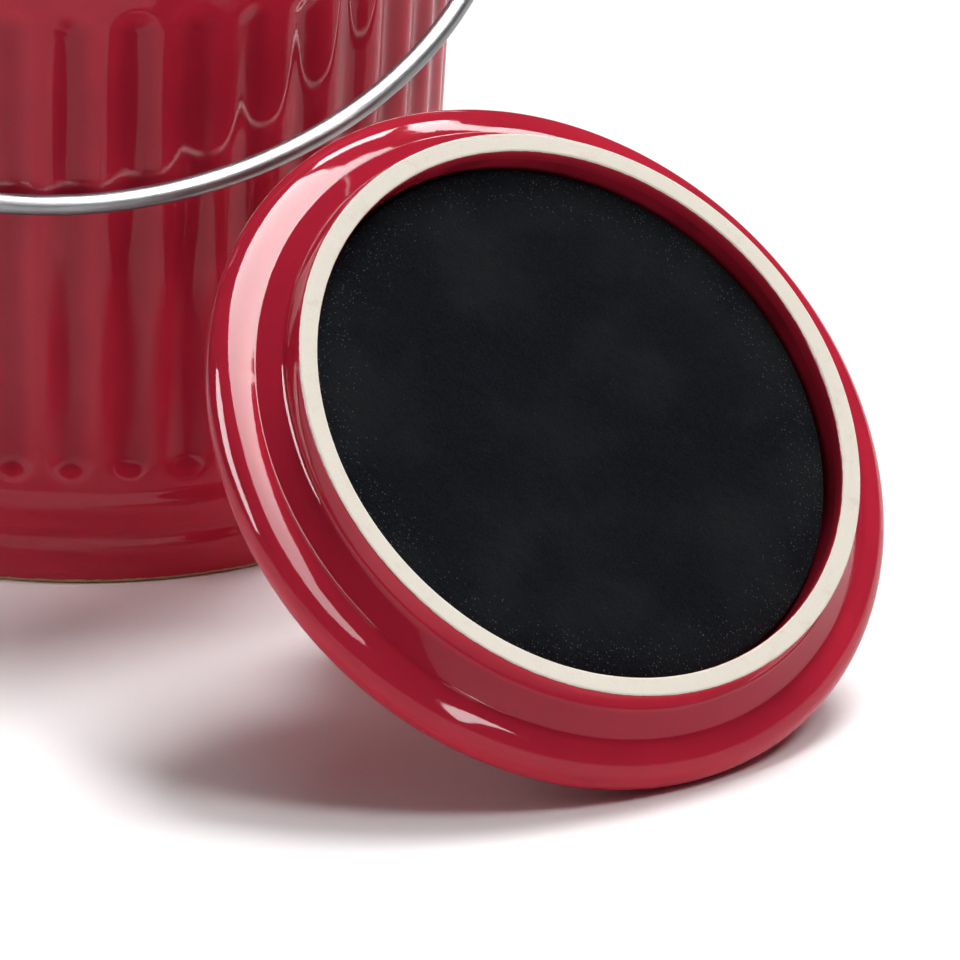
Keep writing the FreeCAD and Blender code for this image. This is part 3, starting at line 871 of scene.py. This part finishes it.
def glazed_ceramic(name, edge_wobble, body, stained, pale):
    """Glossy red glaze, thin and lighter on edges and painted darker as shade down the lid's bore, over
    clay that is bare where the piece stood.

    The wobble is how far the glaze's edge strays, in mm, and the colours are the bare clay's.
    """
    paint = Paint(name)
    thin = paint.attribute("thin")
    wobble = paint.span(paint.noise(420.0, 2.0), 0.3, 0.7, -edge_wobble, edge_wobble)
    bare_depth = paint.math("ADD", paint.attribute("bare"), wobble)
    bare = paint.span(bare_depth, -0.03, 0.03)

    pooled = paint.noise(35.0, 2.0)
    thickness = paint.math("ADD", thin, paint.span(pooled, 0.3, 0.7, -0.16, 0.16))
    # Painted shade: below zero, down the lid's bore, the red darkens towards the bore's shade colour.
    red = paint.mix(paint.span(thickness, -1.0, -0.2), GLAZE_BORE_SHADE, GLAZE_DEEP)
    red = paint.mix(paint.span(thickness, 0.0, 1.0), red, GLAZE_THIN)
    cloud = paint.span(paint.noise(90.0, 4.0, 0.6), 0.35, 0.75, 0.0, 0.25)
    red = paint.mix(cloud, red, GLAZE_CLOUD)
    speck = paint.span(paint.cells(260.0), 0.0, 0.055, 0.55, 0.0)
    red = paint.mix(speck, red, GLAZE_SPECK)
    edge_line = paint.span(bare_depth, -0.38, -0.02)
    red = paint.mix(edge_line, red, GLAZE_EDGE)

    grain = paint.noise(2600.0, 3.0, 0.6)
    stain = paint.span(paint.noise(150.0, 4.0, 0.65), 0.52, 0.75, 0.0, 0.55)
    clay = paint.mix(stain, body, stained)
    clay = paint.mix(paint.span(grain, 0.35, 0.7, 0.0, 0.35), clay, pale)
    fleck = paint.span(paint.cells(700.0), 0.0, 0.1, 0.4, 0.0)
    clay = paint.mix(fleck, clay, CLAY_FLECK)

    wave = paint.noise(48.0, 1.0)
    peel = paint.noise(210.0, 2.0)
    pin = paint.span(paint.cells(330.0), 0.0, 0.06)
    glaze_height = paint.math("ADD", wave, paint.math("MULTIPLY", peel, 0.07))
    glaze_height = paint.math("ADD", glaze_height, paint.math("MULTIPLY", pin, 0.06))
    clay_height = paint.math("MULTIPLY", grain, 0.35)
    height = paint.blend(bare, glaze_height, clay_height)
    gloss = paint.span(paint.noise(60.0, 3.0), 0.3, 0.8, GLAZE_ROUGHNESS, GLAZE_ROUGHNESS + 0.03)
    return paint.finish(
        Base_Color=paint.mix(bare, red, clay),
        Roughness=paint.blend(bare, gloss, 0.82),
        IOR=1.5,
        Specular_IOR_Level=0.2,
        Normal=paint.bump(height, 0.00022),
    )


def drawn_steel():
    """Satin stainless wire with fine lines along its length."""
    paint = Paint("drawn_steel")
    length = paint.add("ShaderNodeCombineXYZ")
    paint.feed(length.inputs["X"], paint.attribute("across"))
    paint.feed(length.inputs["Y"], paint.attribute("through"))
    paint.feed(length.inputs["Z"], paint.math("MULTIPLY", paint.attribute("along"), 0.04))
    lines = paint.noise(3.5, 4.0, 0.65, place=length.outputs["Vector"])
    grain = paint.noise(3000.0, 2.0, 0.6)
    smudge = paint.span(paint.noise(70.0, 3.0), 0.35, 0.7)
    colour = paint.mix(smudge, STEEL_DARK, STEEL_LIGHT)
    colour = paint.mix(paint.span(lines, 0.5, 0.75, 0.0, 0.45), colour, STEEL_LINE)
    height = paint.math("ADD", lines, paint.math("MULTIPLY", grain, 0.5))
    return paint.finish(
        Base_Color=colour,
        Metallic=1.0,
        Roughness=paint.span(grain, 0.3, 0.7, 0.28, 0.4),
        Normal=paint.bump(height, 0.00003),
    )


def carbon_felt():
    """Black needled felt full of carbon grains, a few of which are painted light grey as glints."""
    paint = Paint("carbon_felt")
    fibres = paint.noise(1500.0, 5.0, 0.7)
    tufts = paint.noise(260.0, 4.0, 0.6)
    patches = paint.noise(38.0, 3.0)
    colour = paint.mix(paint.span(fibres, 0.35, 0.7), FELT_DARK, FELT_LIGHT)
    colour = paint.mix(paint.span(patches, 0.4, 0.7, 0.0, 0.5), colour, FELT_DUSTY)
    grains = paint.cells(1500.0)
    chance = paint.add("ShaderNodeSeparateColor")
    paint.feed(chance.inputs["Color"], paint.cells(1500.0, "Color"))
    # Painted glint: a few grains get a light grey base colour, more of them in the band at the edge.
    pick = paint.math("ADD", chance.outputs["Red"], paint.math("MULTIPLY", paint.attribute("worn"), 0.45))
    glint = paint.math("MULTIPLY", paint.span(grains, 0.18, 0.34, 1.0, 0.0), paint.span(pick, 0.96, 1.06))
    height = paint.math("ADD", paint.math("MULTIPLY", fibres, 0.5), paint.math("MULTIPLY", tufts, 0.9))
    proud = paint.math("MULTIPLY", chance.outputs["Green"], paint.math("MULTIPLY", glint, 0.8))
    height = paint.math("ADD", height, proud)
    return paint.finish(
        Base_Color=paint.mix(glint, colour, FELT_GRAIN_GLINT),
        Roughness=paint.blend(glint, 0.95, 0.32),
        Specular_IOR_Level=0.015,
        Normal=paint.bump(height, 0.0006),
    )


# ---------------------------------------------------------------- floor, light, camera

def stage_piece(name, points, faces, material):
    """A mesh that belongs to the set and not to the object; its points are in metres."""
    mesh = bpy.data.meshes.new(name)
    mesh.from_pydata(points, [], faces)
    mesh.materials.append(material)
    piece = bpy.data.objects.new(name, mesh)
    bpy.context.scene.collection.objects.link(piece)
    return piece


def make_floor():
    paint = Paint("floor")
    mark = paint.noise(2.0, 2.0)
    material = paint.finish(
        Base_Color=paint.mix(paint.span(mark, 0.3, 0.7), FLOOR_DARK, FLOOR_LIGHT),
        Roughness=0.65,
        Specular_IOR_Level=0.2,
    )
    reach = 2.0 * BACKDROP_RADIUS
    corners = [(-reach, -reach, 0), (reach, -reach, 0), (reach, reach, 0), (-reach, reach, 0)]
    stage_piece("floor", corners, [(0, 1, 2, 3)], material)


def make_backdrop():
    """White wall far round the floor, seen only by the camera, so that the floor has no dark horizon."""
    sides = 64
    points = []
    for height in (0.0, BACKDROP_HEIGHT):
        for side in range(sides):
            angle = 2.0 * pi * side / sides
            points.append((BACKDROP_RADIUS * cos(angle), BACKDROP_RADIUS * sin(angle), height))
    wall = stage_piece("backdrop", points, grid_faces(2, sides), glow("backdrop", 1.0))
    wall.visible_diffuse = False
    wall.visible_glossy = False
    wall.visible_shadow = False


def outward(azimuth, elevation):
    """Direction in the crock's frame, with the azimuth from -Y towards +X."""
    a, e = radians(azimuth), radians(elevation)
    return Vector((sin(a) * cos(e), -cos(a) * cos(e), sin(e)))


def soft_sun(name, azimuth, elevation, spread, strength):
    """Even light that only lights surfaces: the glowing cards make the highlights."""
    data = bpy.data.lights.new(name, "SUN")
    data.energy = strength
    data.angle = radians(spread)
    light = bpy.data.objects.new(name, data)
    bpy.context.scene.collection.objects.link(light)
    out = outward(azimuth, elevation)
    light.matrix_world = out.to_track_quat("Z", "Y").to_matrix().to_4x4()
    light.visible_glossy = False


def glow(name, strength, fade=None):
    """Emission material; a fade is (y at full strength, y at low strength, low strength)."""
    paint = Paint(name)
    power = strength
    if fade is not None:
        parts = paint.add("ShaderNodeSeparateXYZ")
        paint.feed(parts.inputs["Vector"], paint.place)
        power = paint.span(parts.outputs["Y"], fade[1], fade[0], fade[2], strength)
    shader = paint.add("ShaderNodeEmission")
    paint.feed(shader.inputs["Strength"], power)
    output = paint.add("ShaderNodeOutputMaterial")
    paint.tree.links.new(shader.outputs["Emission"], output.inputs["Surface"])
    return paint.material


def card(name, corners, strength, fade=None):
    """Glowing panel seen only in reflections."""
    panel = stage_piece(name, corners, [tuple(range(len(corners)))], glow(name, strength, fade))
    panel.visible_camera = False
    panel.visible_diffuse = False
    panel.visible_shadow = False


def overhead(outline):
    """Corners in the plane of the ceiling panels, from their x and y."""
    return [(x, y, PANEL_HEIGHT) for x, y in outline]


def around_lid(outline):
    """Corners at the side panels' distance from the lid, from their azimuth and elevation."""
    return [tuple(Vector(PANEL_AIM) + outward(*corner) * PANEL_DISTANCE) for corner in outline]


def make_cards():
    """The studio's panels, as the lid and the crock mirror them."""
    main_panel = [
        (-0.5, 0.05), (-0.35, 0.45), (-0.2, 0.65), (0.1, 0.48), (0.5, 0.3), (1.12, 0.17),
        (1.12, 0.03), (0.92, -0.12), (0.83, -0.4), (0.8, -0.75), (0.72, -1.2), (1.05, -1.55),
        (1.05, -1.8), (0.8, -2.3), (0.4, -2.3), (0.15, -1.8), (0.03, -1.4), (0.0, -0.8),
        (-0.12, -0.62), (-0.32, -0.33), (-0.45, -0.1),
    ]
    card("main_card", overhead(main_panel), 30.0, (0.2, -1.2, 15.0))
    back_panel = [
        (1.12, 0.24), (0.8, 0.42), (0.55, 0.62), (0.33, 0.95), (0.5, 0.95), (0.75, 0.6),
        (0.95, 0.47), (1.1, 0.5), (1.3, 0.4), (1.35, 0.2),
    ]
    card("back_card", overhead(back_panel), 30.0)
    far_panel = [(-0.05, 0.62), (0.2, 0.6), (0.42, 0.62), (0.3, 0.9), (0.05, 0.85), (-0.15, 0.85)]
    card("far_card", overhead(far_panel), 30.0)
    window_panel = [
        (-86, 36), (-80, 42), (-66, 43), (-56, 33), (-46, 25), (-45, 19), (-46, 12), (-52, 8),
        (-58, 15), (-71, 18), (-83, 28),
    ]
    card("window_card", around_lid(window_panel), 29.0)
    front_panel = [
        (31, 8), (33, 15), (36, 21), (42, 27), (52, 31), (57, 30), (57, 26), (53, 26),
        (46, 22), (37, 13),
    ]
    card("front_card", around_lid(front_panel), 24.0)


def make_lights():
    """Three even lights and a little light from everywhere, for what the cards don't light."""
    soft_sun("key", 156.0, 64.0, 22.0, 2.9)
    soft_sun("right", 84.0, 58.0, 18.0, 1.05)
    soft_sun("window", -66.0, 28.0, 25.0, 0.3)
    world = bpy.data.worlds.new("studio")
    world.use_nodes = True
    background = world.node_tree.nodes["Background"]
    background.inputs["Color"].default_value = (1.0, 1.0, 1.0, 1.0)
    background.inputs["Strength"].default_value = 0.03
    bpy.context.scene.world = world


def camera_axes():
    """The camera's right, up and forward, from its azimuth, pitch and roll."""
    yaw = radians(CAMERA_AZIMUTH)
    pitch = radians(CAMERA_PITCH)
    roll = radians(CAMERA_ROLL)
    forward = Vector((-sin(yaw) * cos(pitch), cos(yaw) * cos(pitch), -sin(pitch)))
    level = Vector((cos(yaw), sin(yaw), 0.0))
    lift = level.cross(forward)
    right = level * cos(roll) + lift * sin(roll)
    up = lift * cos(roll) - level * sin(roll)
    return right, up, forward


def make_camera():
    data = bpy.data.cameras.new("camera")
    data.lens = CAMERA_LENS
    data.sensor_width = 36.0
    data.clip_start = 0.1
    data.clip_end = 50.0
    camera = bpy.data.objects.new("camera", data)
    bpy.context.scene.collection.objects.link(camera)
    right, up, forward = camera_axes()
    turn = Matrix((right, up, -forward)).transposed().to_4x4()
    camera.matrix_world = Matrix.Translation(CAMERA_PLACE) @ turn
    bpy.context.scene.camera = camera


def make_pieces():
    """The four visible pieces with their materials."""
    crock = make_crock()
    bail = make_bail()
    lid = make_lid()
    pad = make_pad()
    crock.data.materials.append(glazed_ceramic("crock_glaze", 0.12, FOOT_CLAY, FOOT_STAIN, CLAY_STAIN))
    lid.data.materials.append(glazed_ceramic("lid_glaze", 0.05, CLAY, CLAY_STAIN, CLAY_PALE))
    bail.data.materials.append(drawn_steel())
    pad.data.materials.append(carbon_felt())


make_pieces()
make_floor()
make_backdrop()
make_cards()
make_lights()
make_camera()
bpy.context.scene.view_settings.view_transform = "Standard"
